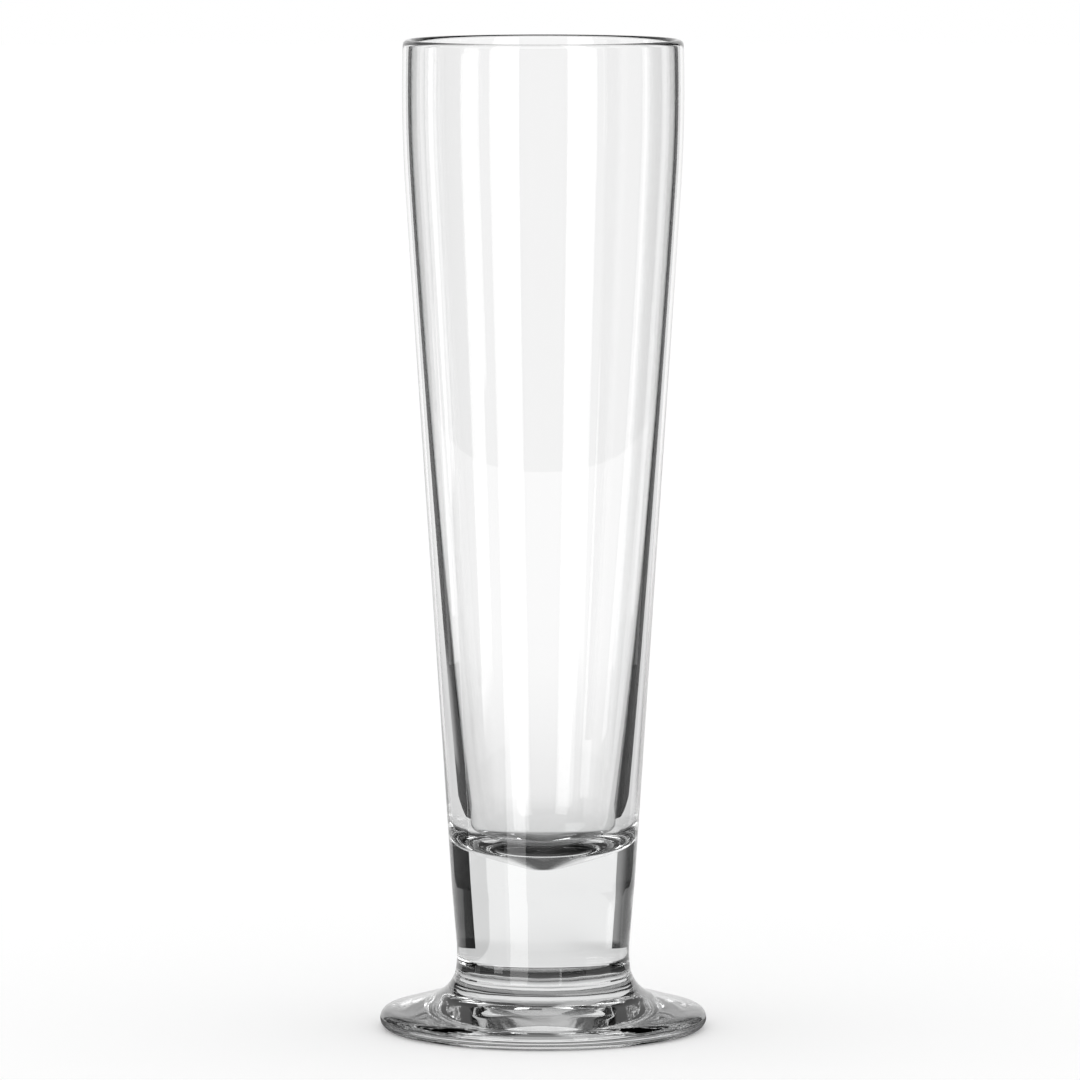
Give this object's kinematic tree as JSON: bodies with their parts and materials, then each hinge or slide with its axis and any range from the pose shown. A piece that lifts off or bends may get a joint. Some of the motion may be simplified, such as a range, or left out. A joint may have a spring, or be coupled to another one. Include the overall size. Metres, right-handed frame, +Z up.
{
  "type": "pilsner glass",
  "caption": "Tall footed pilsner glass of clear glass: a slender tapered bowl on a short solid stem and a round pressed foot, for serving beer.",
  "frame": {"origin": "middle of the foot's flat ring, on the surface that the glass stands on", "axes": "+Z up along the axis of the glass; X and Y are alike, because the glass is round"},
  "size_m": [0.0766, 0.0766, 0.232],
  "materials": {
    "bowl_glass": "clear colourless soda-lime glass, fire-polished and glossy inside and out",
    "stem_glass": "clear colourless soda-lime glass, solid and glossy, with faint upright waves",
    "foot_glass": "clear colourless soda-lime glass, pressed and fire-polished, with faint rings"
  },
  "bodies": {
    "root": {"bowl": "bowl_glass", "stem": "stem_glass", "foot": "foot_glass"}
  },
  "joints": []
}
